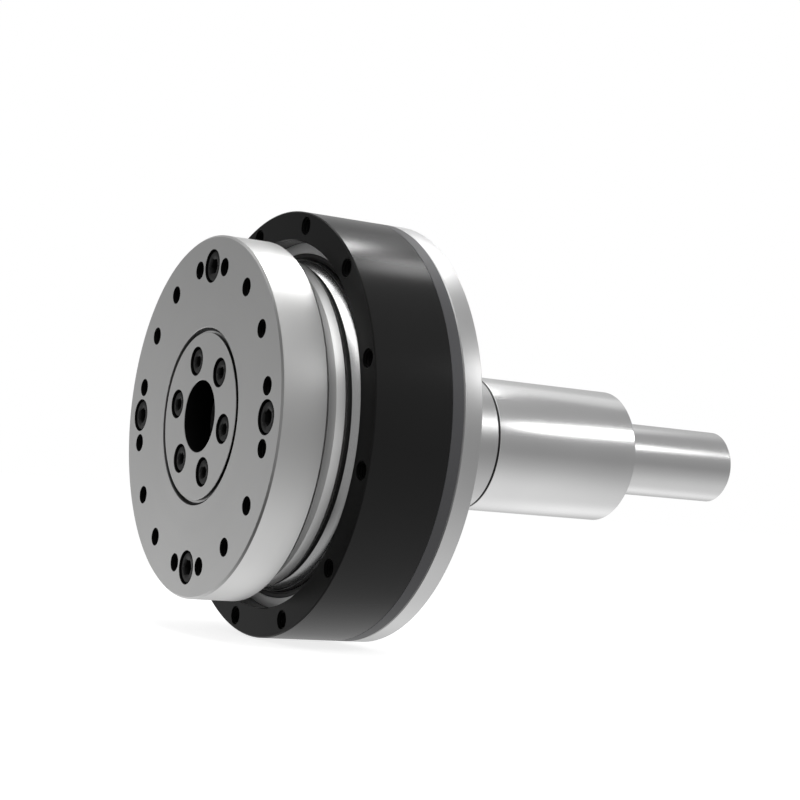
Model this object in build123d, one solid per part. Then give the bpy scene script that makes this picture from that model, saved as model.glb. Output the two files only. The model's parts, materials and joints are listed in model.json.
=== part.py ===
from build123d import *
import os
from math import cos, pi, radians, sin, tan

# Strain wave gear unit, in millimetres.
# The gear axis is +X: x = 0 is the output mounting face, the input shaft ends at the far end.
# +Z is up. Clock angles turn clockwise as seen from the output face, with 0 at the top.

# Output flange and its hub
RIM_OVERHANG = 4.0
FLANGE_RIM_LENGTH = 14.0
RIM_CHAMFER = 0.4
RIM_BACK_CHAMFER = 1.0
NECK_STEP = 0.6
NECK_COVE_RADIUS = 2.6
NECK_FOOT_DEPTH = 0.6
NECK_CONE_LENGTH = 2.6
NECK_LENGTH = 7.5
NECK_END_CHAMFER = 0.5
HUB_RADIUS = 23.7
HUB_THICKNESS = 8.0
HUB_CHAMFER = 0.9
HUB_BORE_RADIUS = 10.0
WEB_THICKNESS = 6.0
WEB_BORE_RADIUS = 11.0
PLUG_THICKNESS = 4.0

# Hole patterns in the output face
OUTPUT_SCREW_LAND = 5.1
OUTPUT_TAP_RADIUS = 2.1
OUTPUT_TAP_DEPTH = 10.0
OUTPUT_TAP_COUNT = 16
FLANGE_SCREW_COUNT = 4
HUB_HOLE_CIRCLE = 16.0
HUB_SCREW_COUNT = 6
HUB_SCREW_TURN = -18.0

# Crossed-roller main bearing
SEAT_GROOVE_WIDTH = 1.4
SEAT_GROOVE_DEPTH = 1.0
GASKET_THICKNESS = 0.7
INNER_RING_WALL = 10.1
INNER_RING_LENGTH = 14.4
INNER_RING_LEAD = 2.3
INNER_RING_LEAD_DEPTH = 1.0
ROLLER_SET_BACK = 10.1
ROLLER_DIAMETER = 6.0
ROLLER_LENGTH = 5.6
ROLLER_COUNT = 44
ROLLER_CIRCLE = 47.55
RACE_GAP = 0.95

# Black housing ring
HOUSING_WALL = 8.2
HOUSING_SET_BACK = 0.2
HOUSING_MOUTH_DEPTH = 6.6
HOUSING_TAP_LAND = 3.7
HOUSING_TAP_RADIUS = 2.5
HOUSING_TAP_DEPTH = 12.0
HOUSING_TAP_COUNT = 12
HOUSING_TAP_TURN = 12.0
FILLER_PLUG_RADIUS = 3.4
FILLER_PLUG_TURN = 237.0

# Output seal and the ring that carries it
SEAL_CARRIER_WIDTH = 3.0
SEAL_CARRIER_THICKNESS = 1.5
SEAL_THICKNESS = 1.1
SEAL_SET_BACK = 0.2

# Toothed parts
MODULE = 1.05
FLEX_TEETH = 60
RING_TEETH = 62
ADDENDUM_SHARE = 0.7
DEDENDUM_SHARE = 0.9
FLANK_ANGLE = 30.0
TOOTH_BACKLASH = 0.08
TOOTH_WIDTH = 8.0
RING_GEAR_FRONT_GAP = 0.9
RING_FLANGE_LENGTH = 3.6
RING_REGISTER_STEP = 1.1

# Flexspline cup
CUP_DIAPHRAGM = 1.2
CUP_BOSS_LENGTH = 3.4
CUP_BOSS_RADIUS = 23.5
CUP_WALL = 0.8
CUP_STEP = 0.25
RIM_WALL = 1.2
TOOTH_START_AFTER_RING = 0.4
CLAMP_RING_THICKNESS = 6.0

# Wave generator
FLEX_RACE_WALL = 1.35
FLEX_INNER_RACE_WALL = 1.9
FLEX_BALL_DIAMETER = 4.4
FLEX_BALL_COUNT = 23
CAM_WIDTH = 9.0
CAGE_BAND = 1.2
CAGE_WALL = 1.4
CAGE_FINGER_WIDTH = 1.1
CAGE_FINGER_WALL = 1.1

# Input shaft
CAM_SEAT_STEP = 2.0
CAM_SEAT_LEAD = 2.6
BEARING_SEAT_RADIUS = 10.0
COLLAR_LENGTH = 48.6
JOURNAL_RADIUS = 11.0
JOURNAL_LENGTH = 44.5
JOURNAL_CHAMFER = 1.0
CENTRE_MOUTH_RADIUS = 3.0
CENTRE_DRILL_RADIUS = 1.5
CENTRE_DRILL_DEPTH = 7.0
CENTRE_ANGLE = 60.0
KEY_WIDTH = 5.0
KEY_HEIGHT = 5.0
CAM_GROOVE_DEPTH = 0.5
CAM_CIRCLIP_WALL = 2.1
CAM_CIRCLIP_MOUTH = 5.0

# Rear flange and its boss
WAVE_END_GAP = 1.8
REAR_FLANGE_THICKNESS = 5.7
BOSS_WALL = 3.75
BOSS_LENGTH = 31.2
COLLAR_GAP = 0.6
SUPPORT_RING_WALL = 1.35
SUPPORT_WIDTH = 7.0
SUPPORT_BALL_DIAMETER = 3.2
SUPPORT_BALL_COUNT = 12
BEARING_STOP_LEDGE = 2.0
BEARING_STOP_LENGTH = 2.0
REAR_POCKET_WALL = 10.0
REAR_POCKET_DEPTH = 2.6
CIRCLIP_THICKNESS = 1.2
BORE_GROOVE_DEPTH = 0.8
BORE_CIRCLIP_WALL = 2.6
BORE_CIRCLIP_MOUTH = 6.0
SHAFT_SEAL_LENGTH = 4.0
SHAFT_SEAL_SET_BACK = 0.3
CIRCLIP_SEAL_GAP = 0.8

# Assembly screws through the rear flange
ASSEMBLY_SCREW_COUNT = 6
ASSEMBLY_SCREW_LAND = 5.7
ASSEMBLY_SCREW_TURN = 27.0
ASSEMBLY_THREAD_DEPTH = 8.0

# A ball as a cut-back cube: the cube's side over the diameter, and the cut over the side
BALL_BLOCK_SHARE = 0.92
BALL_CUT_SHARE = 0.29

# Clearances
FIT_GAP = 0.03
RUNNING_GAP = 0.08
SEAT_GAP = 0.05

# Socket head screws: a head is as high as its thread is thick, and sinks below the face
M4_DIAMETER = 4.0
M4_HEAD_DIAMETER = 7.0
M4_SOCKET_WIDTH = 3.0
M4_BORE_DIAMETER = 8.0
M5_DIAMETER = 5.0
M5_HEAD_DIAMETER = 8.5
M5_SOCKET_WIDTH = 4.0
M5_BORE_DIAMETER = 9.2
SCREW_CLEARANCE = 0.25
HEAD_SINK = 0.8
REAR_HEAD_SINK = 0.4
HUB_SCREW_SHY = 1.0
FLANGE_SCREW_THREAD = 7.5
THREAD_GAP = 0.02
THREAD_RUNOUT = 0.5

# How far a cutting tool runs past the face it opens
OVERRUN = 1.0

# Radii, from the roller circle outwards and inwards
INNER_RING_RADIUS = ROLLER_CIRCLE - RACE_GAP
OUTER_RACE_RADIUS = ROLLER_CIRCLE + RACE_GAP
INNER_RING_BORE = INNER_RING_RADIUS - INNER_RING_WALL
NECK_RADIUS = INNER_RING_RADIUS - NECK_STEP
FLANGE_RADIUS = NECK_RADIUS + RIM_OVERHANG
OUTPUT_HOLE_CIRCLE = INNER_RING_RADIUS - OUTPUT_SCREW_LAND
HOUSING_MOUTH_RADIUS = OUTER_RACE_RADIUS + SEAL_CARRIER_WIDTH
HOUSING_RADIUS = HOUSING_MOUTH_RADIUS + HOUSING_WALL
HOUSING_TAP_CIRCLE = HOUSING_RADIUS - HOUSING_TAP_LAND
ASSEMBLY_SCREW_CIRCLE = HOUSING_RADIUS - ASSEMBLY_SCREW_LAND
RING_REGISTER_RADIUS = OUTER_RACE_RADIUS - RING_REGISTER_STEP

# Radii at the shaft
CAM_SEAT_RADIUS = BEARING_SEAT_RADIUS - CAM_SEAT_STEP
SUPPORT_OUTER_RADIUS = BEARING_SEAT_RADIUS + 2 * (SUPPORT_RING_WALL + SEAT_GAP) + SUPPORT_BALL_DIAMETER
BOSS_RADIUS = SUPPORT_OUTER_RADIUS + BOSS_WALL
COLLAR_RADIUS = BOSS_RADIUS
BEARING_STOP_RADIUS = SUPPORT_OUTER_RADIUS - BEARING_STOP_LEDGE
REAR_POCKET_RADIUS = SUPPORT_OUTER_RADIUS + REAR_POCKET_WALL

# Places along the axis
FLANGE_END = FLANGE_RIM_LENGTH + NECK_LENGTH
INNER_RING_START = FLANGE_END + SEAT_GROOVE_WIDTH
INNER_RING_END = INNER_RING_START + INNER_RING_LENGTH
ROLLER_PLANE = INNER_RING_START + ROLLER_SET_BACK
HOUSING_START = FLANGE_END + HOUSING_SET_BACK
SEAL_SEAT = HOUSING_START + HOUSING_MOUTH_DEPTH
WEB_START = HUB_THICKNESS
WEB_END = WEB_START + WEB_THICKNESS
RING_GEAR_START = INNER_RING_END + RING_GEAR_FRONT_GAP
TOOTH_START = RING_GEAR_START + TOOTH_START_AFTER_RING
TOOTH_END = TOOTH_START + TOOTH_WIDTH
RING_FLANGE_END = TOOTH_END + WAVE_END_GAP
HOUSING_END = RING_FLANGE_END - RING_FLANGE_LENGTH
REAR_FACE = RING_FLANGE_END + REAR_FLANGE_THICKNESS
BOSS_END = REAR_FACE + BOSS_LENGTH
COLLAR_START = BOSS_END + COLLAR_GAP
COLLAR_END = COLLAR_START + COLLAR_LENGTH
SHAFT_END = COLLAR_END + JOURNAL_LENGTH
CAM_START = TOOTH_START + (TOOTH_WIDTH - CAM_WIDTH) / 2
CAM_END = CAM_START + CAM_WIDTH
BALL_PLANE = (TOOTH_START + TOOTH_END) / 2

# Radii of the wave: each elliptical layer is its mean radius plus and minus WAVE
WAVE = MODULE * (RING_TEETH - FLEX_TEETH) / 2
FLEX_PITCH = MODULE * FLEX_TEETH / 2
RING_PITCH = MODULE * RING_TEETH / 2
FLEX_ROOT = FLEX_PITCH - DEDENDUM_SHARE * MODULE
FLEX_BORE = FLEX_ROOT - RIM_WALL
OUTER_RACE_OUTSIDE = FLEX_BORE - SEAT_GAP
OUTER_RACE_INSIDE = OUTER_RACE_OUTSIDE - FLEX_RACE_WALL
FLEX_BALL_CIRCLE = OUTER_RACE_INSIDE - SEAT_GAP - FLEX_BALL_DIAMETER / 2
INNER_RACE_OUTSIDE = FLEX_BALL_CIRCLE - FLEX_BALL_DIAMETER / 2 - SEAT_GAP
INNER_RACE_INSIDE = INNER_RACE_OUTSIDE - FLEX_INNER_RACE_WALL
CAM_RADIUS = INNER_RACE_INSIDE - FIT_GAP


def turned(points):
    """A solid of revolution about X from a closed outline of (x, radius) points."""
    outline = Polyline(*points, close=True)
    return revolve(make_face(outline), Axis.X)


def tube(outer, inner, start, end):
    """A plain ring about X."""
    return turned([(start, inner), (end, inner), (end, outer), (start, outer)])


def rod(radius, start, end):
    """A plain cylinder about X."""
    return Pos((start + end) / 2, 0, 0) * Rot(0, 90, 0) * Cylinder(radius, abs(end - start))


def set_round(piece, circle, angles):
    """Copies of a piece, lifted to a circle's radius and turned to each clock angle."""
    return [Rot(angle, 0, 0) * Pos(0, 0, circle) * piece for angle in angles]


def even_angles(count, turn=0.0):
    return [turn + 360.0 * i / count for i in range(count)]


def ellipse_band(outer, inner, start, end):
    """An elliptical ring whose long axis is upright, from two mean radii."""
    plane = Plane.YZ.offset(start)
    band = Ellipse(outer - WAVE, outer + WAVE)
    if inner is not None:
        band -= Ellipse(inner - WAVE, inner + WAVE)
    return extrude(plane * band, end - start)


def cap_screw(size, start, tip):
    """A socket head screw lying along X, with its head at start and a hexagon socket."""
    head_end = start + size["height"]
    screw = rod(size["head"], start, head_end) + rod(size["shank"], head_end, tip)
    socket = RegularPolygon(size["socket"] / 2, 6, major_radius=False)
    return screw - extrude(Plane.YZ.offset(start) * socket, size["height"] / 2)


def screw_bore(size, face, seat, end):
    """The counterbored clearance hole for a screw, from a face to an end."""
    return rod(size["bore"], face, seat) + rod(size["clear"], seat, end)


def ball(diameter):
    """A ball drawn with few faces: a cube with every edge cut back to the sphere."""
    side = diameter * BALL_BLOCK_SHARE
    block = Box(side, side, side)
    return chamfer(block.edges(), side * BALL_CUT_SHARE)


def socket_screw(diameter, head_diameter, socket_width, bore_diameter):
    """The sizes of a screw and of the holes it needs."""
    return {
        "shank": diameter / 2,
        "height": diameter,
        "head": head_diameter / 2,
        "socket": socket_width,
        "bore": bore_diameter / 2,
        "clear": diameter / 2 + SCREW_CLEARANCE,
    }


M4 = socket_screw(M4_DIAMETER, M4_HEAD_DIAMETER, M4_SOCKET_WIDTH, M4_BORE_DIAMETER)
M5 = socket_screw(M5_DIAMETER, M5_HEAD_DIAMETER, M5_SOCKET_WIDTH, M5_BORE_DIAMETER)

FLANGE_SCREW_ANGLES = even_angles(FLANGE_SCREW_COUNT)
OUTPUT_TAP_ANGLES = even_angles(OUTPUT_TAP_COUNT, 180.0 / OUTPUT_TAP_COUNT)
HUB_SCREW_ANGLES = even_angles(HUB_SCREW_COUNT, HUB_SCREW_TURN)
HOUSING_TAP_ANGLES = even_angles(HOUSING_TAP_COUNT, HOUSING_TAP_TURN)
ASSEMBLY_ANGLES = even_angles(ASSEMBLY_SCREW_COUNT, ASSEMBLY_SCREW_TURN)

HUB_SCREW_SEAT = HEAD_SINK + M4["height"]
FLANGE_SCREW_SEAT = HEAD_SINK + M5["height"]
CLAMP_RING_START = WEB_END + CUP_BOSS_LENGTH
CLAMP_RING_END = CLAMP_RING_START + CLAMP_RING_THICKNESS
HUB_SCREW_TIP = CLAMP_RING_END - HUB_SCREW_SHY
FLANGE_SCREW_TIP = INNER_RING_START + FLANGE_SCREW_THREAD
ASSEMBLY_SCREW_TIP = HOUSING_END - ASSEMBLY_THREAD_DEPTH
REGISTER_RADIUS = NECK_RADIUS - NECK_END_CHAMFER - SEAT_GROOVE_DEPTH


def output_flange():
    back = FLANGE_RIM_LENGTH
    foot = NECK_RADIUS - NECK_FOOT_DEPTH
    cove = foot + NECK_COVE_RADIUS
    land = FLANGE_END - 2 * NECK_END_CHAMFER
    recess = HUB_RADIUS + FIT_GAP
    outline = Polyline(
        (0, recess),
        (0, FLANGE_RADIUS - RIM_CHAMFER),
        (RIM_CHAMFER, FLANGE_RADIUS),
        (back - RIM_BACK_CHAMFER, FLANGE_RADIUS),
        (back, FLANGE_RADIUS - RIM_BACK_CHAMFER),
        (back, cove),
    )
    outline += CenterArc((back + NECK_COVE_RADIUS, cove), NECK_COVE_RADIUS, 180, 90)
    outline += Polyline(
        (back + NECK_COVE_RADIUS, foot),
        (land - NECK_CONE_LENGTH, foot),
        (land, NECK_RADIUS),
        (FLANGE_END, NECK_RADIUS - NECK_END_CHAMFER),
        (FLANGE_END, REGISTER_RADIUS),
        (INNER_RING_START, REGISTER_RADIUS),
        (INNER_RING_START, INNER_RING_BORE),
        (WEB_END, INNER_RING_BORE),
        (WEB_END, WEB_BORE_RADIUS),
        (WEB_START, WEB_BORE_RADIUS),
        (WEB_START, recess),
        (0, recess),
    )
    body = revolve(make_face(outline), Axis.X)
    tap = rod(OUTPUT_TAP_RADIUS, -OVERRUN, OUTPUT_TAP_DEPTH)
    taps = set_round(tap, OUTPUT_HOLE_CIRCLE, OUTPUT_TAP_ANGLES)
    bores = set_round(
        screw_bore(M5, -OVERRUN, FLANGE_SCREW_SEAT, INNER_RING_START + OVERRUN),
        OUTPUT_HOLE_CIRCLE,
        FLANGE_SCREW_ANGLES,
    )
    hub_hole = rod(M4["clear"], WEB_START - OVERRUN, WEB_END + OVERRUN)
    hub_holes = set_round(hub_hole, HUB_HOLE_CIRCLE, HUB_SCREW_ANGLES)
    return body - taps - bores - hub_holes


def output_hub():
    body = turned(
        [
            (0, HUB_BORE_RADIUS),
            (HUB_THICKNESS, HUB_BORE_RADIUS),
            (HUB_THICKNESS, HUB_RADIUS),
            (HUB_CHAMFER, HUB_RADIUS),
            (0, HUB_RADIUS - HUB_CHAMFER),
        ]
    )
    bore = screw_bore(M4, -OVERRUN, HUB_SCREW_SEAT, HUB_THICKNESS + OVERRUN)
    return body - set_round(bore, HUB_HOLE_CIRCLE, HUB_SCREW_ANGLES)


def hub_screws():
    screw = cap_screw(M4, HEAD_SINK, HUB_SCREW_TIP)
    return set_round(screw, HUB_HOLE_CIRCLE, HUB_SCREW_ANGLES)


def flange_screws():
    screw = cap_screw(M5, HEAD_SINK, FLANGE_SCREW_TIP)
    return set_round(screw, OUTPUT_HOLE_CIRCLE, FLANGE_SCREW_ANGLES)


def bore_plug():
    return rod(WEB_BORE_RADIUS - FIT_GAP, WEB_END - PLUG_THICKNESS, WEB_END)


def flange_gasket():
    inside = REGISTER_RADIUS + FIT_GAP
    return tube(inside + GASKET_THICKNESS, inside, FLANGE_END, INNER_RING_START)


def race_square(grow):
    """Half the diagonal of the square track that the crossed rollers run in."""
    return (ROLLER_DIAMETER / 2 + grow) * 2**0.5


def bearing_inner_ring():
    depth = INNER_RING_RADIUS - (ROLLER_CIRCLE - race_square(SEAT_GAP))
    body = turned(
        [
            (INNER_RING_START, INNER_RING_BORE),
            (INNER_RING_END, INNER_RING_BORE),
            (INNER_RING_END, INNER_RING_RADIUS),
            (ROLLER_PLANE + depth, INNER_RING_RADIUS),
            (ROLLER_PLANE, INNER_RING_RADIUS - depth),
            (ROLLER_PLANE - depth, INNER_RING_RADIUS),
            (INNER_RING_START + INNER_RING_LEAD, INNER_RING_RADIUS),
            (INNER_RING_START, INNER_RING_RADIUS - INNER_RING_LEAD_DEPTH),
        ]
    )
    thread = rod(M5["shank"] + THREAD_GAP, INNER_RING_START - OVERRUN, FLANGE_SCREW_TIP + THREAD_RUNOUT)
    return body - set_round(thread, OUTPUT_HOLE_CIRCLE, FLANGE_SCREW_ANGLES)


def crossed_rollers():
    """Rollers stand at plus and minus 45 degrees to the gear axis, every other one each way."""
    rollers = []
    for number, angle in enumerate(even_angles(ROLLER_COUNT)):
        lean = 45 if number % 2 else -45
        roller = Rot(0, lean, 0) * Cylinder(ROLLER_DIAMETER / 2, ROLLER_LENGTH)
        rollers += set_round(Pos(ROLLER_PLANE, 0, 0) * roller, ROLLER_CIRCLE, [angle])
    return rollers


def filler_hole(radius):
    """The radial hole that the rollers are loaded through, as a cylinder."""
    reach = HOUSING_RADIUS + OVERRUN
    drill = Pos(ROLLER_PLANE, 0, reach / 2) * Cylinder(radius, reach)
    return Rot(FILLER_PLUG_TURN, 0, 0) * drill


def housing_body():
    depth = ROLLER_CIRCLE + race_square(SEAT_GAP) - OUTER_RACE_RADIUS
    register = RING_REGISTER_RADIUS + FIT_GAP
    body = turned(
        [
            (HOUSING_START, HOUSING_MOUTH_RADIUS),
            (SEAL_SEAT, HOUSING_MOUTH_RADIUS),
            (SEAL_SEAT, OUTER_RACE_RADIUS),
            (ROLLER_PLANE - depth, OUTER_RACE_RADIUS),
            (ROLLER_PLANE, OUTER_RACE_RADIUS + depth),
            (ROLLER_PLANE + depth, OUTER_RACE_RADIUS),
            (INNER_RING_END, OUTER_RACE_RADIUS),
            (INNER_RING_END, register),
            (HOUSING_END, register),
            (HOUSING_END, HOUSING_RADIUS),
            (HOUSING_START, HOUSING_RADIUS),
        ]
    )
    tap = rod(HOUSING_TAP_RADIUS, HOUSING_START - OVERRUN, HOUSING_START + HOUSING_TAP_DEPTH)
    taps = set_round(tap, HOUSING_TAP_CIRCLE, HOUSING_TAP_ANGLES)
    thread = rod(M4["shank"] + THREAD_GAP, ASSEMBLY_SCREW_TIP - THREAD_RUNOUT, HOUSING_END + OVERRUN)
    threads = set_round(thread, ASSEMBLY_SCREW_CIRCLE, ASSEMBLY_ANGLES)
    return body - taps - threads


def housing_ring():
    return housing_body() - filler_hole(FILLER_PLUG_RADIUS + FIT_GAP)


def filler_plug():
    return housing_body() & filler_hole(FILLER_PLUG_RADIUS)


def seal_carrier():
    return tube(
        HOUSING_MOUTH_RADIUS - FIT_GAP,
        OUTER_RACE_RADIUS,
        SEAL_SEAT - SEAL_CARRIER_THICKNESS,
        SEAL_SEAT,
    )


def output_seal():
    start = SEAL_SEAT - SEAL_CARRIER_THICKNESS + SEAL_SET_BACK
    return tube(
        OUTER_RACE_RADIUS - FIT_GAP,
        INNER_RING_RADIUS + RUNNING_GAP,
        start,
        start + SEAL_THICKNESS,
    )


def tooth_points(height_in, height_out, half_width):
    """One tooth across its pitch line: pairs of (sideways, outwards)."""
    slope = tan(radians(FLANK_ANGLE))
    wide = half_width + height_in * slope
    narrow = half_width - height_out * slope
    return [(-wide, -height_in), (-narrow, height_out), (narrow, height_out), (wide, -height_in)]


def flex_tooth_outline():
    """The toothed rim bent to its oval: teeth stand square to the oval, at equal arcs along it."""
    half_width = pi * MODULE / 4 - TOOTH_BACKLASH / 2
    tooth = tooth_points(DEDENDUM_SHARE * MODULE, ADDENDUM_SHARE * MODULE, half_width)
    points = []
    for number in range(FLEX_TEETH):
        rest = 2 * pi * number / FLEX_TEETH
        turn = rest - WAVE / (2 * FLEX_PITCH) * sin(2 * rest)
        reach = FLEX_PITCH + WAVE * cos(2 * rest)
        tilt = turn + 2 * WAVE / FLEX_PITCH * sin(2 * rest)
        for side, out in tooth:
            y = -reach * sin(turn) - side * cos(tilt) - out * sin(tilt)
            z = reach * cos(turn) - side * sin(tilt) + out * cos(tilt)
            points.append((y, z))
    return points


def ring_tooth_outline():
    """The spaces between the fixed ring's inward teeth."""
    half_width = pi * MODULE / 4 + TOOTH_BACKLASH / 2
    space = tooth_points(ADDENDUM_SHARE * MODULE, DEDENDUM_SHARE * MODULE, half_width)
    points = []
    for number in range(RING_TEETH):
        turn = 2 * pi * number / RING_TEETH
        for side, out in space:
            reach = RING_PITCH + out
            points.append((-reach * sin(turn) - side * cos(turn), reach * cos(turn) - side * sin(turn)))
    return points


def circular_spline():
    body = turned(
        [
            (RING_GEAR_START, 0),
            (RING_FLANGE_END, 0),
            (RING_FLANGE_END, HOUSING_RADIUS),
            (HOUSING_END, HOUSING_RADIUS),
            (HOUSING_END, RING_REGISTER_RADIUS),
            (RING_GEAR_START, RING_REGISTER_RADIUS),
        ]
    )
    spaces = make_face(Polyline(*ring_tooth_outline(), close=True))
    cut_start = RING_GEAR_START - OVERRUN
    cut = extrude(Plane.YZ.offset(cut_start) * spaces, RING_FLANGE_END + OVERRUN - cut_start)
    hole = rod(M4["clear"], HOUSING_END - OVERRUN, RING_FLANGE_END + OVERRUN)
    return body - cut - set_round(hole, ASSEMBLY_SCREW_CIRCLE, ASSEMBLY_ANGLES)


def oval_loft(round_radius, oval_radius, start, end):
    """A straight-sided solid that goes from a circle to an upright oval along X."""
    near = Plane.YZ.offset(start) * Circle(round_radius)
    far = Plane.YZ.offset(end) * Ellipse(oval_radius - WAVE, oval_radius + WAVE)
    return loft([near, far], ruled=True)


def flexspline():
    """A thin cup: a bolted boss, a diaphragm, a wall that goes from round to oval, a toothed rim."""
    wall_start = WEB_END + (CUP_BOSS_LENGTH - CUP_DIAPHRAGM) / 2
    wall_outside = FLEX_ROOT - CUP_STEP
    cup = oval_loft(wall_outside, wall_outside, wall_start, TOOTH_START)
    cup -= oval_loft(wall_outside - CUP_WALL, FLEX_BORE, wall_start + CUP_DIAPHRAGM, TOOTH_START)
    cup += rod(CUP_BOSS_RADIUS, WEB_END, CLAMP_RING_START)
    teeth = make_face(Polyline(*flex_tooth_outline(), close=True))
    teeth -= Ellipse(FLEX_BORE - WAVE, FLEX_BORE + WAVE)
    cup += extrude(Plane.YZ.offset(TOOTH_START) * teeth, TOOTH_WIDTH)
    cup -= rod(WEB_BORE_RADIUS, WEB_END - OVERRUN, CLAMP_RING_START + OVERRUN)
    hole = rod(M4["clear"], WEB_END - OVERRUN, CLAMP_RING_START + OVERRUN)
    return cup - set_round(hole, HUB_HOLE_CIRCLE, HUB_SCREW_ANGLES)


def clamp_ring():
    body = tube(CUP_BOSS_RADIUS, WEB_BORE_RADIUS, CLAMP_RING_START, CLAMP_RING_END)
    thread = rod(M4["shank"] + THREAD_GAP, CLAMP_RING_START - OVERRUN, CLAMP_RING_END + OVERRUN)
    return body - set_round(thread, HUB_HOLE_CIRCLE, HUB_SCREW_ANGLES)


def key_block(length, gap):
    """The key between cam and shaft, grown by a gap on its sides, top and bottom."""
    block = Box(length, KEY_WIDTH + 2 * gap, KEY_HEIGHT + 2 * gap)
    return Pos((CAM_START + CAM_END) / 2, 0, CAM_SEAT_RADIUS) * block


def wave_cam():
    body = ellipse_band(CAM_RADIUS, None, CAM_START, CAM_END)
    body -= rod(CAM_SEAT_RADIUS + FIT_GAP, CAM_START - OVERRUN, CAM_END + OVERRUN)
    return body - key_block(CAM_WIDTH + 2 * OVERRUN, FIT_GAP)


def flex_inner_race():
    return ellipse_band(INNER_RACE_OUTSIDE, INNER_RACE_INSIDE, TOOTH_START, TOOTH_END)


def flex_outer_race():
    return ellipse_band(OUTER_RACE_OUTSIDE, OUTER_RACE_INSIDE, TOOTH_START, TOOTH_END)


def oval_places(count):
    """Places along the oval ball track, as (clock angle, radius)."""
    return [(angle, FLEX_BALL_CIRCLE + WAVE * cos(radians(2 * angle))) for angle in even_angles(count)]


def flex_balls():
    piece = Pos(BALL_PLANE, 0, 0) * ball(FLEX_BALL_DIAMETER)
    return [
        place
        for angle, radius in oval_places(FLEX_BALL_COUNT)
        for place in set_round(piece, radius, [angle])
    ]


def flex_cage():
    band = ellipse_band(
        FLEX_BALL_CIRCLE + CAGE_WALL / 2,
        FLEX_BALL_CIRCLE - CAGE_WALL / 2,
        TOOTH_END - CAGE_BAND,
        TOOTH_END,
    )
    finger_start = BALL_PLANE - FLEX_BALL_DIAMETER / 2
    finger_end = TOOTH_END - CAGE_BAND / 2
    finger = Pos((finger_start + finger_end) / 2, 0, 0) * Box(
        finger_end - finger_start, CAGE_FINGER_WIDTH, CAGE_FINGER_WALL
    )
    half_step = 180.0 / FLEX_BALL_COUNT
    for angle, _ in oval_places(FLEX_BALL_COUNT):
        between = angle + half_step
        radius = FLEX_BALL_CIRCLE + WAVE * cos(radians(2 * between))
        band += set_round(finger, radius, [between])
    return band


def input_shaft():
    seat_start = CAM_START - CAM_SEAT_LEAD
    groove = CAM_START - CIRCLIP_THICKNESS
    centre_cone = (CENTRE_MOUTH_RADIUS - CENTRE_DRILL_RADIUS) / tan(radians(CENTRE_ANGLE / 2))
    body = turned(
        [
            (seat_start, 0),
            (SHAFT_END - CENTRE_DRILL_DEPTH, 0),
            (SHAFT_END - CENTRE_DRILL_DEPTH, CENTRE_DRILL_RADIUS),
            (SHAFT_END - centre_cone, CENTRE_DRILL_RADIUS),
            (SHAFT_END, CENTRE_MOUTH_RADIUS),
            (SHAFT_END, JOURNAL_RADIUS - JOURNAL_CHAMFER),
            (SHAFT_END - JOURNAL_CHAMFER, JOURNAL_RADIUS),
            (COLLAR_END, JOURNAL_RADIUS),
            (COLLAR_END, COLLAR_RADIUS - JOURNAL_CHAMFER / 2),
            (COLLAR_END - JOURNAL_CHAMFER / 2, COLLAR_RADIUS),
            (COLLAR_START, COLLAR_RADIUS),
            (COLLAR_START, BEARING_SEAT_RADIUS),
            (CAM_END, BEARING_SEAT_RADIUS),
            (CAM_END, CAM_SEAT_RADIUS),
            (groove + CIRCLIP_THICKNESS, CAM_SEAT_RADIUS),
            (groove + CIRCLIP_THICKNESS, CAM_SEAT_RADIUS - CAM_GROOVE_DEPTH),
            (groove, CAM_SEAT_RADIUS - CAM_GROOVE_DEPTH),
            (groove, CAM_SEAT_RADIUS),
            (seat_start, CAM_SEAT_RADIUS),
        ]
    )
    return body - key_block(CAM_WIDTH, FIT_GAP)


def cam_key():
    return key_block(CAM_WIDTH - 2 * FIT_GAP, 0)


def open_ring(outer, inner, start, gap_width):
    """A retaining ring of constant section with a gap at the bottom."""
    ring = tube(outer, inner, start + FIT_GAP, start + CIRCLIP_THICKNESS - FIT_GAP)
    return ring - Pos(start, 0, -outer) * Box(4 * CIRCLIP_THICKNESS, gap_width, outer)


def cam_circlip():
    inner = CAM_SEAT_RADIUS - CAM_GROOVE_DEPTH + FIT_GAP
    return open_ring(inner + CAM_CIRCLIP_WALL, inner, CAM_START - CIRCLIP_THICKNESS, CAM_CIRCLIP_MOUTH)


FRONT_SUPPORT = RING_FLANGE_END + REAR_POCKET_DEPTH + BEARING_STOP_LENGTH
SUPPORT_BALL_CIRCLE = (SUPPORT_OUTER_RADIUS + BEARING_SEAT_RADIUS) / 2
SHAFT_SEAL_START = BOSS_END - SHAFT_SEAL_SET_BACK - SHAFT_SEAL_LENGTH
BORE_CIRCLIP_START = SHAFT_SEAL_START - CIRCLIP_SEAL_GAP - CIRCLIP_THICKNESS
REAR_SUPPORT = BORE_CIRCLIP_START - SUPPORT_WIDTH


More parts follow.
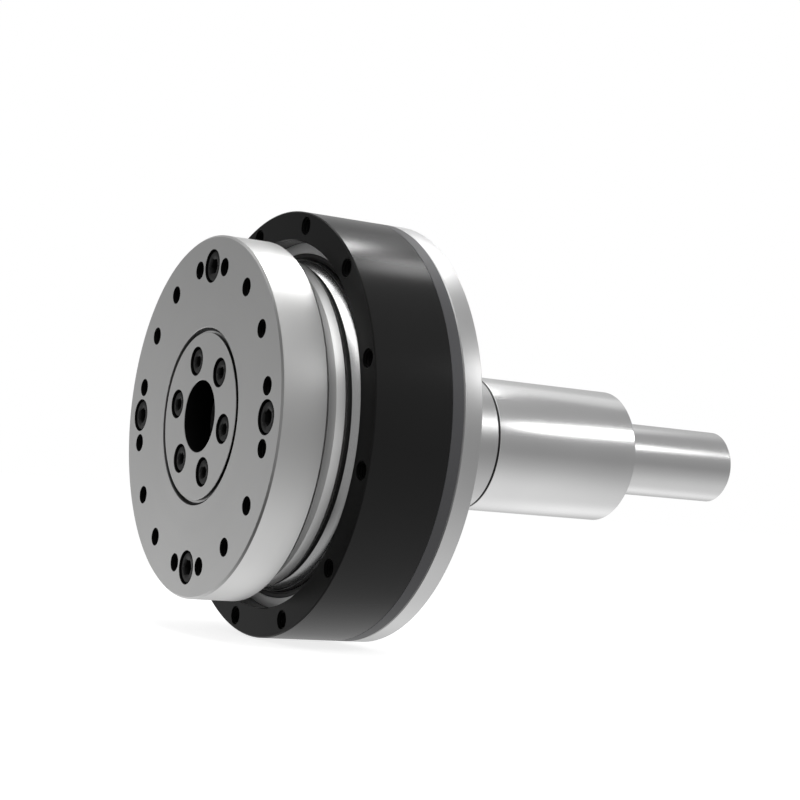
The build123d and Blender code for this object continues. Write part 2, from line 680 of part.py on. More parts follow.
def rear_flange():
    bore = SUPPORT_OUTER_RADIUS + FIT_GAP
    groove = BORE_CIRCLIP_START
    body = turned(
        [
            (RING_FLANGE_END, REAR_POCKET_RADIUS),
            (RING_FLANGE_END + REAR_POCKET_DEPTH, REAR_POCKET_RADIUS),
            (RING_FLANGE_END + REAR_POCKET_DEPTH, BEARING_STOP_RADIUS),
            (FRONT_SUPPORT, BEARING_STOP_RADIUS),
            (FRONT_SUPPORT, bore),
            (groove, bore),
            (groove, bore + BORE_GROOVE_DEPTH),
            (groove + CIRCLIP_THICKNESS, bore + BORE_GROOVE_DEPTH),
            (groove + CIRCLIP_THICKNESS, bore),
            (BOSS_END, bore),
            (BOSS_END, BOSS_RADIUS),
            (REAR_FACE, BOSS_RADIUS),
            (REAR_FACE, HOUSING_RADIUS),
            (RING_FLANGE_END, HOUSING_RADIUS),
        ]
    )
    seat = REAR_FACE - REAR_HEAD_SINK - M4["height"]
    hole = screw_bore(M4, REAR_FACE + OVERRUN, seat, RING_FLANGE_END - OVERRUN)
    return body - set_round(hole, ASSEMBLY_SCREW_CIRCLE, ASSEMBLY_ANGLES)


def assembly_screws():
    """Screws put in from the rear, so they are drawn forwards and turned about."""
    head_face = REAR_FACE - REAR_HEAD_SINK
    forwards = cap_screw(M4, 0, head_face - ASSEMBLY_SCREW_TIP)
    screw = Pos(head_face, 0, 0) * Rot(0, 180, 0) * forwards
    return set_round(screw, ASSEMBLY_SCREW_CIRCLE, ASSEMBLY_ANGLES)


def support_rings(outer, inner):
    """The same ring in both support bearings."""
    return [tube(outer, inner, start, start + SUPPORT_WIDTH) for start in (FRONT_SUPPORT, REAR_SUPPORT)]


def support_outer_rings():
    return support_rings(SUPPORT_OUTER_RADIUS, SUPPORT_BALL_CIRCLE + SUPPORT_BALL_DIAMETER / 2 + SEAT_GAP)


def support_inner_rings():
    return support_rings(
        SUPPORT_BALL_CIRCLE - SUPPORT_BALL_DIAMETER / 2 - SEAT_GAP, BEARING_SEAT_RADIUS + FIT_GAP
    )


def support_balls():
    balls = []
    for start in (FRONT_SUPPORT, REAR_SUPPORT):
        piece = Pos(start + SUPPORT_WIDTH / 2, 0, 0) * ball(SUPPORT_BALL_DIAMETER)
        balls += set_round(piece, SUPPORT_BALL_CIRCLE, even_angles(SUPPORT_BALL_COUNT))
    return balls


def bearing_spacer():
    return tube(
        SUPPORT_OUTER_RADIUS, BEARING_STOP_RADIUS, FRONT_SUPPORT + SUPPORT_WIDTH, REAR_SUPPORT
    )


def bore_circlip():
    outer = SUPPORT_OUTER_RADIUS + BORE_GROOVE_DEPTH
    return open_ring(outer, outer - BORE_CIRCLIP_WALL, BORE_CIRCLIP_START, BORE_CIRCLIP_MOUTH)


def shaft_seal():
    return tube(
        SUPPORT_OUTER_RADIUS,
        BEARING_SEAT_RADIUS + RUNNING_GAP,
        SHAFT_SEAL_START,
        SHAFT_SEAL_START + SHAFT_SEAL_LENGTH,
    )


NODES = {
    "output_flange": output_flange,
    "output_hub": output_hub,
    "hub_screws": hub_screws,
    "flange_screws": flange_screws,
    "bore_plug": bore_plug,
    "flange_gasket": flange_gasket,
    "bearing_inner_ring": bearing_inner_ring,
    "crossed_rollers": crossed_rollers,
    "housing_ring": housing_ring,
    "filler_plug": filler_plug,
    "seal_carrier": seal_carrier,
    "output_seal": output_seal,
    "circular_spline": circular_spline,
    "flexspline": flexspline,
    "clamp_ring": clamp_ring,
    "wave_cam": wave_cam,
    "flex_inner_race": flex_inner_race,
    "flex_outer_race": flex_outer_race,
    "flex_balls": flex_balls,
    "flex_cage": flex_cage,
    "input_shaft": input_shaft,
    "cam_key": cam_key,
    "cam_circlip": cam_circlip,
    "rear_flange": rear_flange,
    "assembly_screws": assembly_screws,
    "support_outer_rings": support_outer_rings,
    "support_inner_rings": support_inner_rings,
    "support_balls": support_balls,
    "bearing_spacer": bearing_spacer,
    "bore_circlip": bore_circlip,
    "shaft_seal": shaft_seal,
}


def main():
    os.makedirs("parts", exist_ok=True)
    for name, make in NODES.items():
        piece = make()
        solids = piece.solids() if hasattr(piece, "solids") else [s for p in piece for s in p.solids()]
        export_step(Compound(children=list(solids)) if len(solids) > 1 else solids[0], f"parts/{name}.step")


main()
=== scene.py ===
import json
from math import cos, pi, radians, sin, tan

import bmesh
import bpy
import numpy as np
from mathutils import Matrix, Vector


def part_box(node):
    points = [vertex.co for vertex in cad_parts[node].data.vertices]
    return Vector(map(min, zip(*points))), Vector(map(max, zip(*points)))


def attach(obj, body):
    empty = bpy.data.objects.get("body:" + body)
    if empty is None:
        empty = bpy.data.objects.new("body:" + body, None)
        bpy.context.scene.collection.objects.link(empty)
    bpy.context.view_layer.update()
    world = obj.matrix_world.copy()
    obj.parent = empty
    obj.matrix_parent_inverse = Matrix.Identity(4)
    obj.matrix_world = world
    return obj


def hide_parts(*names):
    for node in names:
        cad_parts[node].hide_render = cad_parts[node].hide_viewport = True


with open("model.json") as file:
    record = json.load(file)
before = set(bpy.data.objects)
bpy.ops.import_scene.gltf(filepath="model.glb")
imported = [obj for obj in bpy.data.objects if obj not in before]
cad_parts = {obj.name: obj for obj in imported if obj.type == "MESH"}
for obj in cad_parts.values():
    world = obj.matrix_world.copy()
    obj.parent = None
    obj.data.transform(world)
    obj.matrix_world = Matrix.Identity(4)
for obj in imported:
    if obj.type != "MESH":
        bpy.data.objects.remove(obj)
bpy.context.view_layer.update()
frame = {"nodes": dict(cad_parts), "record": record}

# The gear's axis is X, its output face lies at x = 0, and up is +Z. Lengths below are in millimetres.
MM = 0.001
ROUND = 240
HOLE_ROUND = 40
SCREW_ROUND = 48
THREAD_ROUND = 20
ARC_STEPS = 4
SHARP_ANGLE = radians(32)

# Points closer than this are one, and edges shorter than this vanish, in metres
SAME_POINT = 1e-7
NO_LENGTH = 1e-8

# A face this near to a station or a radius lies on it
ON_STATION = 0.02

# Small radii on turned edges
FINE_EDGE = 0.1
EDGE = 0.3
SOFT_EDGE = 0.6


def span(node):
    """Where a round node begins and ends along the axis, and its outer radius, in millimetres."""
    low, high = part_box(node)
    return low.x / MM, high.x / MM, max(-low.y, high.y, -low.z, high.z) / MM


def mount(name):
    """The sizes of one of the record's mounts."""
    return next(m["dims"] for m in frame["record"]["mounts"] if m["name"] == name)


# Stations along the axis and radii, read from the frame
FLANGE_START, FLANGE_END, FLANGE_RADIUS = span("output_flange")
GASKET_START, GASKET_END, GASKET_RADIUS = span("flange_gasket")
INNER_RING_START, INNER_RING_END, INNER_RING_RADIUS = span("bearing_inner_ring")
HUB_START, HUB_END, HUB_RADIUS = span("output_hub")
SEAL_START, SEAL_END, SEAL_RADIUS = span("output_seal")
CARRIER_START, CARRIER_END, CARRIER_RADIUS = span("seal_carrier")
HOUSING_START, HOUSING_END, HOUSING_RADIUS = span("housing_ring")
GEAR_START, GEAR_END, GEAR_RADIUS = span("circular_spline")
REAR_START, BOSS_END, REAR_RADIUS = span("rear_flange")
SHAFT_START, SHAFT_END, COLLAR_RADIUS = span("input_shaft")
OUTPUT_CIRCLE = mount("output_bolts")["pcd_mm"] / 2
HOUSING_CIRCLE = mount("housing_bolts")["pcd_mm"] / 2
HUB_BORE = mount("hub_bore")["r_mm"]
JOURNAL_RADIUS = mount("input_journal")["r_mm"]
BOSS_RADIUS = mount("boss_pilot")["r_mm"]

# The disc, its neck, its recess and the hub in it
RIM_LENGTH = 14.0
RIM_CHAMFER = 0.55
RIM_BACK_CHAMFER = 1.0
NECK_RADIUS = 46.0
NECK_FOOT_RADIUS = 45.0
NECK_WAIST_RADIUS = 45.4
NECK_END_DROP = 0.5
NECK_CONE_START = 18.1
NECK_CONE_END = 20.5
COVE = 1.5
HUB_RECESS = 23.73
HUB_CIRCLE = 16.0
GROOVE_INNER = 23.1
GROOVE_OUTER = 24.5
GROOVE_DEPTH = 1.0
WEB_END = 14.0
WEB_BORE = 11.0

# The gasket, and how deep its seat goes below its outside
GASKET_THICKNESS = 0.7
GASKET_SEAT = 0.75
GASKET_INNER_EDGE = 0.2

# The bearing's inner ring and the seal on it
INNER_RING_BORE = OUTPUT_CIRCLE - 5
INNER_RING_LEAD = 2.3
INNER_RING_LEAD_DEPTH = 1.6
LIP_GAP = 0.08
LIP_TIP = 0.35
LIP_RISE = 0.3
LIP_WIDTH = 0.75

# The housing ring, its bearing track and the filler's cap
MOUTH_RADIUS = 51.5
MOUTH_END = 28.3
MOUTH_CHAMFER = 0.25
HOUSING_BACK_CHAMFER = 0.15
RACE_RADIUS = 48.5
RACE_DEPTH = 3.36
ROLLER_PLANE = 33.0
REGISTER_RADIUS = 47.43
REGISTER_FIT = 0.03
FILLER_RADIUS = 3.38
FILLER_CHAMFER = 0.12
FILLER_SINK = 0.02
FILLER_SOCKET = 3.0
FILLER_SOCKET_DEPTH = 1.6
FILLER_DEPTH = 7.0

# The ring gear
GEAR_FLANGE_START = 44.8
GEAR_CHAMFER = 0.25
RING_PITCH = 32.55
RING_TEETH = 62
TOOTH_POINTS = 8
TOOTH_HALF_DEPTH = 0.84
TOOTH_FLATNESS = 1.6

# The rear flange, its boss and the bearing seat in it
REAR_FACE = 54.1
REAR_RECESS_RADIUS = 26.0
REAR_RECESS_END = 51.0
BEARING_STOP = 53.0
BEARING_STOP_BORE = 14.0
BEARING_SEAT_RADIUS = 16.03
BOSS_FILLET = 0.8
ASSEMBLY_CIRCLE = 54.0

# The input shaft
CAM_SEAT_RADIUS = 8.0
CAM_SHOULDER = 47.1
BEARING_JOURNAL_RADIUS = 10.0
COLLAR_START = 85.9
COLLAR_END = 134.5
COLLAR_CHAMFER = 0.5
JOURNAL_FILLET = 0.5
JOURNAL_CHAMFER = 1.0
CENTRE_MOUTH = 3.0
CENTRE_DRILL = 1.5
CENTRE_DEPTH = 7.0
CENTRE_ANGLE = radians(30)

# Socket screws: radii of shank, head, counterbore and clearance hole, head height and socket width
M4 = {"shank": 2.0, "head": 3.5, "bore": 4.0, "clear": 2.25, "height": 4.0, "socket": 3.0}
M5 = {"shank": 2.5, "head": 4.25, "bore": 4.6, "clear": 2.75, "height": 5.0, "socket": 4.0}
HEAD_SINK = 0.4
REAR_HEAD_SINK = 0.4
HUB_SCREW_TIP = 22.4
FLANGE_SCREW_TIP = 30.4
ASSEMBLY_SCREW_TIP = 36.8

# Small forms of every socket screw. The crown's steps are (place below the face, distance from the side).
SOCKET_DEPTH_SHARE = 0.55
SOCKET_DISH = 0.4
SOCKET_FLOOR_SHARE = 0.96
SOCKET_MOUTH_DEPTH = 0.25
SOCKET_MOUTH_WIDTH = 0.22
HEAD_CROWN = [(0.0, 0.45), (0.1, 0.2), (0.4, 0.0)]
HEAD_FOOT_CHAMFER = 0.15
SCREW_TIP_CHAMFER = 0.5

# Tapped holes: the hole's radius and depth, and its thread's bore, pitch and length
OUTPUT_TAP = {"radius": 2.45, "depth": 10.0, "bore": 2.02, "pitch": 0.7, "thread": 9.4}
HOUSING_TAP = {"radius": 2.6, "depth": 12.0, "bore": 2.1, "pitch": 0.8, "thread": 11.3}
THREAD_START = 0.5
THREAD_STEPS = 4
THREAD_HEIGHT = 0.55
THREAD_WALL = 0.6

# How far a cutter stands out of the face that it cuts, and half the angle of a drill's point
CUTTER_REACH = 1
DRILL_POINT = radians(59)


def clock(count, turn=0.0):
    """Evenly spaced clock angles in degrees, clockwise as seen from the output face."""
    return turn + 360.0 * np.arange(count) / count


OUTPUT_TAP_ANGLES = clock(16, 11.25)
FLANGE_SCREW_ANGLES = clock(4)
HUB_SCREW_ANGLES = clock(6, -18.0)
HOUSING_TAP_ANGLES = clock(12, 12.0)
ASSEMBLY_ANGLES = clock(6, 27.0)
FILLER_ANGLE = 237.0


# Outlines and surfaces

def eased(corners):
    """An outline of (x, radius) points from (x, radius, rounding) corners.

    A rounded corner becomes an arc that touches both its sides. The arc's centre lies on the line that
    halves the corner, at rounding / sin(half the corner's angle), and the arc starts rounding / tan(half)
    from the corner.
    """
    points = np.array([corner[:2] for corner in corners], float)
    outline = []
    for number, corner in enumerate(corners):
        here = points[number]
        rounding = corner[2] if len(corner) > 2 else 0.0
        if not rounding:
            outline.append(here[None])
            continue
        back = points[number - 1] - here
        back = back / np.linalg.norm(back)
        ahead = points[(number + 1) % len(points)] - here
        ahead = ahead / np.linalg.norm(ahead)
        half = np.arccos(np.clip(back @ ahead, -1, 1)) / 2
        middle = back + ahead
        centre = here + middle / np.linalg.norm(middle) * rounding / np.sin(half)
        start = here + back * rounding / np.tan(half) - centre
        end = here + ahead * rounding / np.tan(half) - centre
        first = np.arctan2(start[1], start[0])
        sweep = (np.arctan2(end[1], end[0]) - first + pi) % (2 * pi) - pi
        angles = first + sweep * np.linspace(0, 1, ARC_STEPS + 1)
        outline.append(centre + rounding * np.stack([np.cos(angles), np.sin(angles)], 1))
    return np.concatenate(outline)


def around(count):
    """Evenly spaced angles of a full turn, in radians."""
    return 2 * pi * np.arange(count) / count


def rings(along, radius, turn):
    """Points x, -r sin t, r cos t for a grid of radii r: a row for each x, a column for each angle t."""
    x = np.broadcast_to(along[:, None], radius.shape)
    return np.stack([x, -radius * np.sin(turn), radius * np.cos(turn)], -1).reshape(-1, 3)


def revolved(outline, segments, radius_factor=1.0):
    """The surface of an outline (x, r) carried round X. A factor may change r for each point and angle."""
    radius = outline[:, 1:] * (np.ones((1, segments)) * radius_factor)
    return rings(outline[:, 0], radius, around(segments))


def grid_faces(rows, columns, rows_wrap):
    """Quads of a grid of points whose columns always join up, and whose rows do if rows_wrap."""
    row = np.arange(rows if rows_wrap else rows - 1)[:, None]
    column = np.arange(columns)[None]
    after = (row + 1) % rows
    beside = (column + 1) % columns
    corners = [
        row * columns + column,
        row * columns + beside,
        after * columns + beside,
        after * columns + column,
    ]
    return np.stack(np.broadcast_arrays(*corners), -1).reshape(-1, 4)


def copies_round(points, quads, circle, angles):
    """Copies of a surface about X, moved out to a circle and turned to each clock angle."""
    turn = np.radians(angles)[:, None]
    x, y, z = points[:, 0], points[:, 1], points[:, 2] + circle
    across = y * np.cos(turn) - z * np.sin(turn)
    up = y * np.sin(turn) + z * np.cos(turn)
    moved = np.stack([np.broadcast_to(x, across.shape), across, up], -1).reshape(-1, 3)
    shifted = quads[None] + (len(points) * np.arange(len(angles)))[:, None, None]
    return moved, shifted.reshape(-1, 4)


def volume(points, quads):
    """Six times the signed volume inside closed quads: positive where they face outwards."""
    a, b, c, d = (points[quads[:, i]] for i in range(4))
    first = np.einsum("ij,ij->i", a, np.cross(b, c))
    second = np.einsum("ij,ij->i", a, np.cross(c, d))
    return float((first + second).sum())


def close_poles(mesh):
    """Joins points that coincide and drops the faces that this flattens."""
    work = bmesh.new()
    work.from_mesh(mesh)
    bmesh.ops.remove_doubles(work, verts=work.verts, dist=SAME_POINT)
    bmesh.ops.dissolve_degenerate(work, dist=NO_LENGTH, edges=work.edges)
    work.to_mesh(mesh)
    work.free()


def new_object(name, data):
    """An object at the origin, in the scene."""
    made = bpy.data.objects.new(name, data)
    bpy.context.scene.collection.objects.link(made)
    return made


def closed_surface(name, points, quads, material):
    """An object from points in millimetres, with its poles closed and its faces turned outwards."""
    if volume(points, quads) < 0:
        quads = quads[:, ::-1]
    mesh = bpy.data.meshes.new(name)
    mesh.from_pydata((points * MM).tolist(), [], quads.tolist())
    close_poles(mesh)
    mesh.materials.append(material)
    return new_object(name, mesh)


def piece(name, points, quads, body, slot, material, stands_for=()):
    """A closed surface that rides on a body and may stand for some of the frame's nodes."""
    made = closed_surface(name, points, quads, material)
    if stands_for:
        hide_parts(*stands_for)
    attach(made, body)
    return made


def smooth(made):
    """Smooth shading, broken where two faces meet at more than the sharp angle."""
    made.data.shade_smooth()
    made.data.set_sharp_from_angle(angle=SHARP_ANGLE)


def turned(name, corners, body, slot, material, stands_for):
    """A turned piece: an outline carried round the axis. It is a ring if its outline stays off the axis."""
    outline = eased(corners)
    ring = corners[0][1] > 0
    quads = grid_faces(len(outline), ROUND, ring)
    return piece(name, revolved(outline, ROUND), quads, body, slot, material, stands_for)


def refinish(made, material, faces=(), walls=()):
    """Gives a turned piece another finish, in this script always painted shade, on its flat faces at some
    x, and on its walls at some radii.
    """
    mesh = made.data
    mesh.materials.append(material)
    centres = np.empty(3 * len(mesh.polygons))
    mesh.polygons.foreach_get("center", centres)
    centres = centres.reshape(-1, 3) / MM
    chosen = np.zeros(len(centres), bool)
    for along in faces:
        chosen |= np.abs(centres[:, 0] - along) < ON_STATION
    for radius in walls:
        chosen |= np.abs(np.hypot(centres[:, 1], centres[:, 2]) - radius) < ON_STATION
    mesh.polygons.foreach_set("material_index", chosen.astype(np.int32))


def drilled(made, corners, circle, angles):
    """Cuts one hole shape, given as a turned outline from the axis to the axis, at every angle.

    The walls of the holes get a near-black material: painted shade inside the holes.
    """
    outline = eased(corners)
    points = revolved(outline, HOLE_ROUND)
    quads = grid_faces(len(outline), HOLE_ROUND, False)
    drill = closed_surface("drill", *copies_round(points, quads, circle, angles), bore_painted_shade)
    cut = made.modifiers.new("drill", "BOOLEAN")
    cut.operation = "DIFFERENCE"
    cut.solver = "EXACT"
    cut.material_mode = "TRANSFER"
    cut.object = drill
    shaped = made.evaluated_get(bpy.context.evaluated_depsgraph_get())
    result = bpy.data.meshes.new_from_object(shaped)
    made.modifiers.clear()
    whole = made.data
    made.data = result
    bpy.data.meshes.remove(whole)
    bpy.data.objects.remove(drill)
    result.name = made.name


def tap_hole(face, tap):
    """A tapped hole's cutter: a 45 degree mouth, a wall, and a drill point's cone."""
    radius = tap["radius"]
    end = face + tap["depth"]
    return [
        (face - CUTTER_REACH, 0),
        (face - CUTTER_REACH, radius + CUTTER_REACH + FINE_EDGE),
        (face + FINE_EDGE, radius),
        (end, radius),
        (end + radius / tan(DRILL_POINT), 0),
    ]


def counterbore(face, sink, end, size, way=1):
    """A screw's stepped cutter along X, or against it where way is -1, with its mouth's edge broken."""
    seat = face + way * sink + way * size["height"]
    return [
        (face - way * CUTTER_REACH, 0),
        (face - way * CUTTER_REACH, size["bore"] + CUTTER_REACH + FINE_EDGE),
        (face + way * FINE_EDGE, size["bore"]),
        (seat, size["bore"]),
        (seat, size["clear"]),
        (end + way * CUTTER_REACH, size["clear"]),
        (end + way * CUTTER_REACH, 0),
    ]


def hexagon(angles, across):
    """Distance from a hexagon's centre to its edge at each angle, for its width across flats."""
    return across / 2 / np.cos((angles + pi / 6) % (pi / 3) - pi / 6)


def socket_screws(name, size, head_face, tip, circle, angles, body, stands_for):
    """Socket head screws, each one surface from the socket's floor out over the head and down the shank.

    Every row is a ring about the screw's axis. The socket's rows follow a hexagon, the others a circle.
    """
    turn = around(SCREW_ROUND)
    six = hexagon(turn, size["socket"])
    one = np.ones_like(turn)
    deep = size["height"] * SOCKET_DEPTH_SHARE
    head = size["head"]
    shank = size["shank"]
    length = abs(tip - head_face)
    rows = [
        (deep + SOCKET_DISH, 0 * one),
        (deep, six * SOCKET_FLOOR_SHARE),
        (deep, six),
        (SOCKET_MOUTH_DEPTH, six),
        (0.0, (six.max() + SOCKET_MOUTH_WIDTH) * one),
        *[(below, (head - inwards) * one) for below, inwards in HEAD_CROWN],
        (size["height"] - HEAD_FOOT_CHAMFER, head * one),
        (size["height"], (head - HEAD_FOOT_CHAMFER) * one),
        (size["height"], shank * one),
        (length - SCREW_TIP_CHAMFER, shank * one),
        (length, (shank - SCREW_TIP_CHAMFER) * one),
        (length, 0 * one),
    ]
    along = head_face + np.sign(tip - head_face) * np.array([place for place, _ in rows])
    points = rings(along, np.stack([row for _, row in rows]), turn)
    quads = grid_faces(len(rows), len(turn), False)
    made = piece(name, *copies_round(points, quads, circle, angles), body, "black_oxide", oxide, stands_for)
    smooth(made)


def thread_sleeves(name, face, tap, circle, angles, body):
    """Tapped threads as thin sleeves: the inner wall's radius follows a helix.

    The inner radius is the bore plus the thread's height times a triangle wave of x / pitch - angle / turn,
    and the wave grows from nothing at the mouth.
    """
    turn = around(THREAD_ROUND)
    bore = tap["bore"]
    pitch = tap["pitch"]
    start = face + THREAD_START
    x = start + np.arange(int(tap["thread"] / pitch * THREAD_STEPS) + 1) * pitch / THREAD_STEPS
    wave = np.abs(((x[:, None] / pitch - turn[None] / (2 * pi)) % 1.0) * 2 - 1)
    inner = bore + THREAD_HEIGHT * pitch * wave * (1 - np.exp(-(x - start) / pitch))[:, None]
    outer = np.full((2, len(turn)), bore + THREAD_WALL * pitch)
    points = rings(np.concatenate([x, x[[-1, 0]]]), np.concatenate([inner, outer]), turn)
    quads = grid_faces(len(x) + 2, len(turn), True)
    # The sleeves are near-black: painted shade inside the tapped holes.
    made = piece(name, *copies_round(points, quads, circle, angles), body, "black_oxide", thread_painted_shade)
    smooth(made)


# Shader node groups

# Lathe marks: lines a metre, how slowly they change round the axis, and the scale of tarnish patches
LINES_PER_METRE = 6000.0
LINES_ROUND = 20.0
TARNISH_SCALE = 38.0

# Handling marks: scales of patches and specks, and the noise above which a speck shows
PATCH_SCALE = 30.0
SPECK_SCALE = 900.0
SPECK_LEVEL = 0.62
SPECK_GAIN = 6.0

# The part of a noise's range that most of its values lie in
NOISE_LOW = 0.3
NOISE_HIGH = 0.7


def set_inputs(node, values):
    """Gives a node's input sockets their constant numbers or colours."""
    for socket, value in values.items():
        node.inputs[socket].default_value = value


def group(name, inputs, outputs):
    """An empty shader node group with number inputs, at the given values, and number outputs."""
    tree = bpy.data.node_groups.new(name, "ShaderNodeTree")
    for socket, value in inputs.items():
        made = tree.interface.new_socket(socket, in_out="INPUT", socket_type="NodeSocketFloat")
        made.default_value = value
    for socket in outputs:
        tree.interface.new_socket(socket, in_out="OUTPUT", socket_type="NodeSocketFloat")
    return tree, tree.nodes.new("NodeGroupInput"), tree.nodes.new("NodeGroupOutput")


def feed(tree, value, socket):
    """Gives a socket a number, or links another socket to it."""
    if isinstance(value, (int, float)):
        socket.default_value = value
    else:
        tree.links.new(value, socket)


def maths(tree, operation, *values, clamp=False):
    """A Math node whose inputs are numbers or sockets, giving its output socket."""
    node = tree.nodes.new("ShaderNodeMath")
    node.operation = operation
    node.use_clamp = clamp
    for socket, value in zip(node.inputs, values):
        feed(tree, value, socket)
    return node.outputs[0]


def product(tree, first, *others):
    """Numbers or sockets multiplied together."""
    for other in others:
        first = maths(tree, "MULTIPLY", first, other)
    return first


def noise(tree, vector, scale, detail):
    """A Noise Texture's value."""
    node = tree.nodes.new("ShaderNodeTexNoise")
    set_inputs(node, {"Detail": detail})
    feed(tree, scale, node.inputs["Scale"])
    tree.links.new(vector, node.inputs["Vector"])
    return node.outputs["Fac"]


def separated(tree, vector):
    """The three parts of a vector."""
    node = tree.nodes.new("ShaderNodeSeparateXYZ")
    tree.links.new(vector, node.inputs[0])
    return node.outputs


def make_turning_group():
    """Fine lathe marks: noise that changes fast along the axis and away from it, and hardly round it."""
    inputs = {"Lines per metre": LINES_PER_METRE, "Round": LINES_ROUND}
    tree, given, out = group("lathe marks", inputs, ["Marks", "Patches"])
    place = tree.nodes.new("ShaderNodeTexCoord").outputs["Object"]
    x, y, z = separated(tree, place)
    squares = [maths(tree, "POWER", part, 2.0) for part in (y, z)]
    radius = maths(tree, "SQRT", maths(tree, "ADD", *squares))
    lines = given.outputs["Lines per metre"]
    joined = tree.nodes.new("ShaderNodeCombineXYZ")
    for socket, part, rate in zip(joined.inputs, (x, radius, z), (lines, lines, given.outputs["Round"])):
        tree.links.new(product(tree, part, rate), socket)
    tree.links.new(noise(tree, joined.outputs[0], 1.0, 3.0), out.inputs["Marks"])
    tree.links.new(noise(tree, place, TARNISH_SCALE, 3.0), out.inputs["Patches"])
    return tree


def make_dust_group():
    """Soft handling marks: large faint patches and fine specks, as two masks."""
    inputs = {"Patch scale": PATCH_SCALE, "Speck scale": SPECK_SCALE}
    tree, given, out = group("handling marks", inputs, ["Patches", "Specks"])
    place = tree.nodes.new("ShaderNodeTexCoord").outputs["Object"]
    tree.links.new(noise(tree, place, given.outputs["Patch scale"], 4.0), out.inputs["Patches"])
    specks = noise(tree, place, given.outputs["Speck scale"], 2.0)
    specks = maths(tree, "SUBTRACT", specks, SPECK_LEVEL, clamp=True)
    tree.links.new(maths(tree, "MULTIPLY", specks, SPECK_GAIN, clamp=True), out.inputs["Specks"])
    return tree


turning_group = make_turning_group()
dust_group = make_dust_group()


def placed_group(tree, made):
    """A node group placed in a material's tree."""
    node = tree.nodes.new("ShaderNodeGroup")
    node.node_tree = made
    return node


def spread(tree, mask, low, high):
    """A mask's middle range stretched between two numbers."""
    node = tree.nodes.new("ShaderNodeMapRange")
    set_inputs(node, {"From Min": NOISE_LOW, "From Max": NOISE_HIGH, "To Min": low, "To Max": high})
    tree.links.new(mask, node.inputs["Value"])
    return node.outputs["Result"]


def tint(tree, mask, low, high):
    """Two colours mixed by a mask."""
    node = tree.nodes.new("ShaderNodeMix")
    node.data_type = "RGBA"
    set_inputs(node, {"A": (*low, 1), "B": (*high, 1)})
    tree.links.new(spread(tree, mask, 0.0, 1.0), node.inputs["Factor"])
    return node.outputs["Result"]


def bumped(tree, height, distance):
    """A normal that leans with a height."""
    node = tree.nodes.new("ShaderNodeBump")
    set_inputs(node, {"Distance": distance, "Strength": 1.0})
    tree.links.new(height, node.inputs["Height"])
    return node.outputs["Normal"]


def finish(name, metallic, specular=0.5):
    """A new material with its tree and Principled shader."""
    material = bpy.data.materials.new(name)
    material.use_nodes = True
    tree = material.node_tree
    shader = tree.nodes["Principled BSDF"]
    set_inputs(shader, {"Metallic": metallic, "Specular IOR Level": specular})
    return material, tree, shader


def machined(name, dark, light, smoothest, roughest, lines=LINES_PER_METRE, depth=2.0e-7):
    """Bare metal with lathe marks in its colour, gloss and relief."""
    material, tree, shader = finish(name, 1.0)
    marks = placed_group(tree, turning_group)
    set_inputs(marks, {"Lines per metre": lines})
    tree.links.new(tint(tree, marks.outputs["Patches"], dark, light), shader.inputs["Base Color"])
    tree.links.new(spread(tree, marks.outputs["Marks"], smoothest, roughest), shader.inputs["Roughness"])
    tree.links.new(bumped(tree, marks.outputs["Marks"], depth), shader.inputs["Normal"])
    return material


def coated(name, dark, light, smoothest, roughest, speck_depth, specular=0.5):
    """A coated or moulded surface with faint patches and fine specks."""
    material, tree, shader = finish(name, 0.0, specular)
    marks = placed_group(tree, dust_group)
    tree.links.new(tint(tree, marks.outputs["Patches"], dark, light), shader.inputs["Base Color"])
    tree.links.new(spread(tree, marks.outputs["Patches"], smoothest, roughest), shader.inputs["Roughness"])
    tree.links.new(bumped(tree, marks.outputs["Specks"], speck_depth), shader.inputs["Normal"])
    return material


def grey(value):
    """A colour whose three parts are one value."""
    return (value, value, value)


# Machined: dark and light colour, smoothest and roughest, lines a metre, depth of the marks in metres
satin = machined("satin face steel", (0.69, 0.69, 0.685), (0.715, 0.715, 0.71), 0.34, 0.39)
bright = machined("ground bright steel", grey(0.80), grey(0.83), 0.23, 0.26, 9000.0, 4.0e-8)
polished = machined("polished shaft steel", grey(0.80), grey(0.84), 0.22, 0.26, 12000.0, 6.0e-8)
silver = machined("turned silver steel", grey(0.64), grey(0.67), 0.35, 0.39, 9000.0, 6.0e-8)
carrier_grey = machined("machined grey steel", grey(0.78), grey(0.82), 0.55, 0.60)
spring = machined("tempered spring steel", (0.40, 0.39, 0.37), (0.46, 0.45, 0.43), 0.28, 0.38)
race = machined("ground bearing steel", grey(0.72), grey(0.78), 0.10, 0.16, 14000.0, 5.0e-8)
# Near-black machined steel: painted shade, for the walls of holes and bores and the hub's groove
bore_painted_shade = machined("oiled bore", grey(0.015), grey(0.022), 0.4, 0.5, 4000.0)

# Coated: dark and light colour, smoothest and roughest, depth of the specks in metres, specular level
dark_band = coated("phosphated iron", (0.095, 0.095, 0.099), (0.10, 0.10, 0.105), 0.39, 0.41, 1.0e-6, 0.2)
black_coat = coated("black housing finish", grey(0.016), grey(0.018), 0.21, 0.22, 3.0e-7, 0.17)
# A darker copy of the housing's black, for its front face: painted shade.
painted_shade_black_face = coated("black housing face", grey(0.007), grey(0.009), 0.30, 0.34, 3.0e-7, 0.08)
oxide = coated("black oxide", grey(0.008), grey(0.011), 0.42, 0.5, 1.0e-6, 0.3)
rubber = coated("moulded rubber", grey(0.008), grey(0.012), 0.55, 0.7, 3.0e-6)
seal_rubber = coated("seal rubber", grey(0.022), grey(0.032), 0.5, 0.6, 3.0e-6)
cage_plastic = coated("cage plastic", (0.50, 0.42, 0.28), (0.56, 0.48, 0.33), 0.4, 0.5, 2.0e-6)
# Near-black for the tapped threads: painted shade inside the holes.
thread_painted_shade = coated("oiled thread", grey(0.003), grey(0.005), 0.5, 0.6, 1.0e-6, 0.1)


# The pieces that show

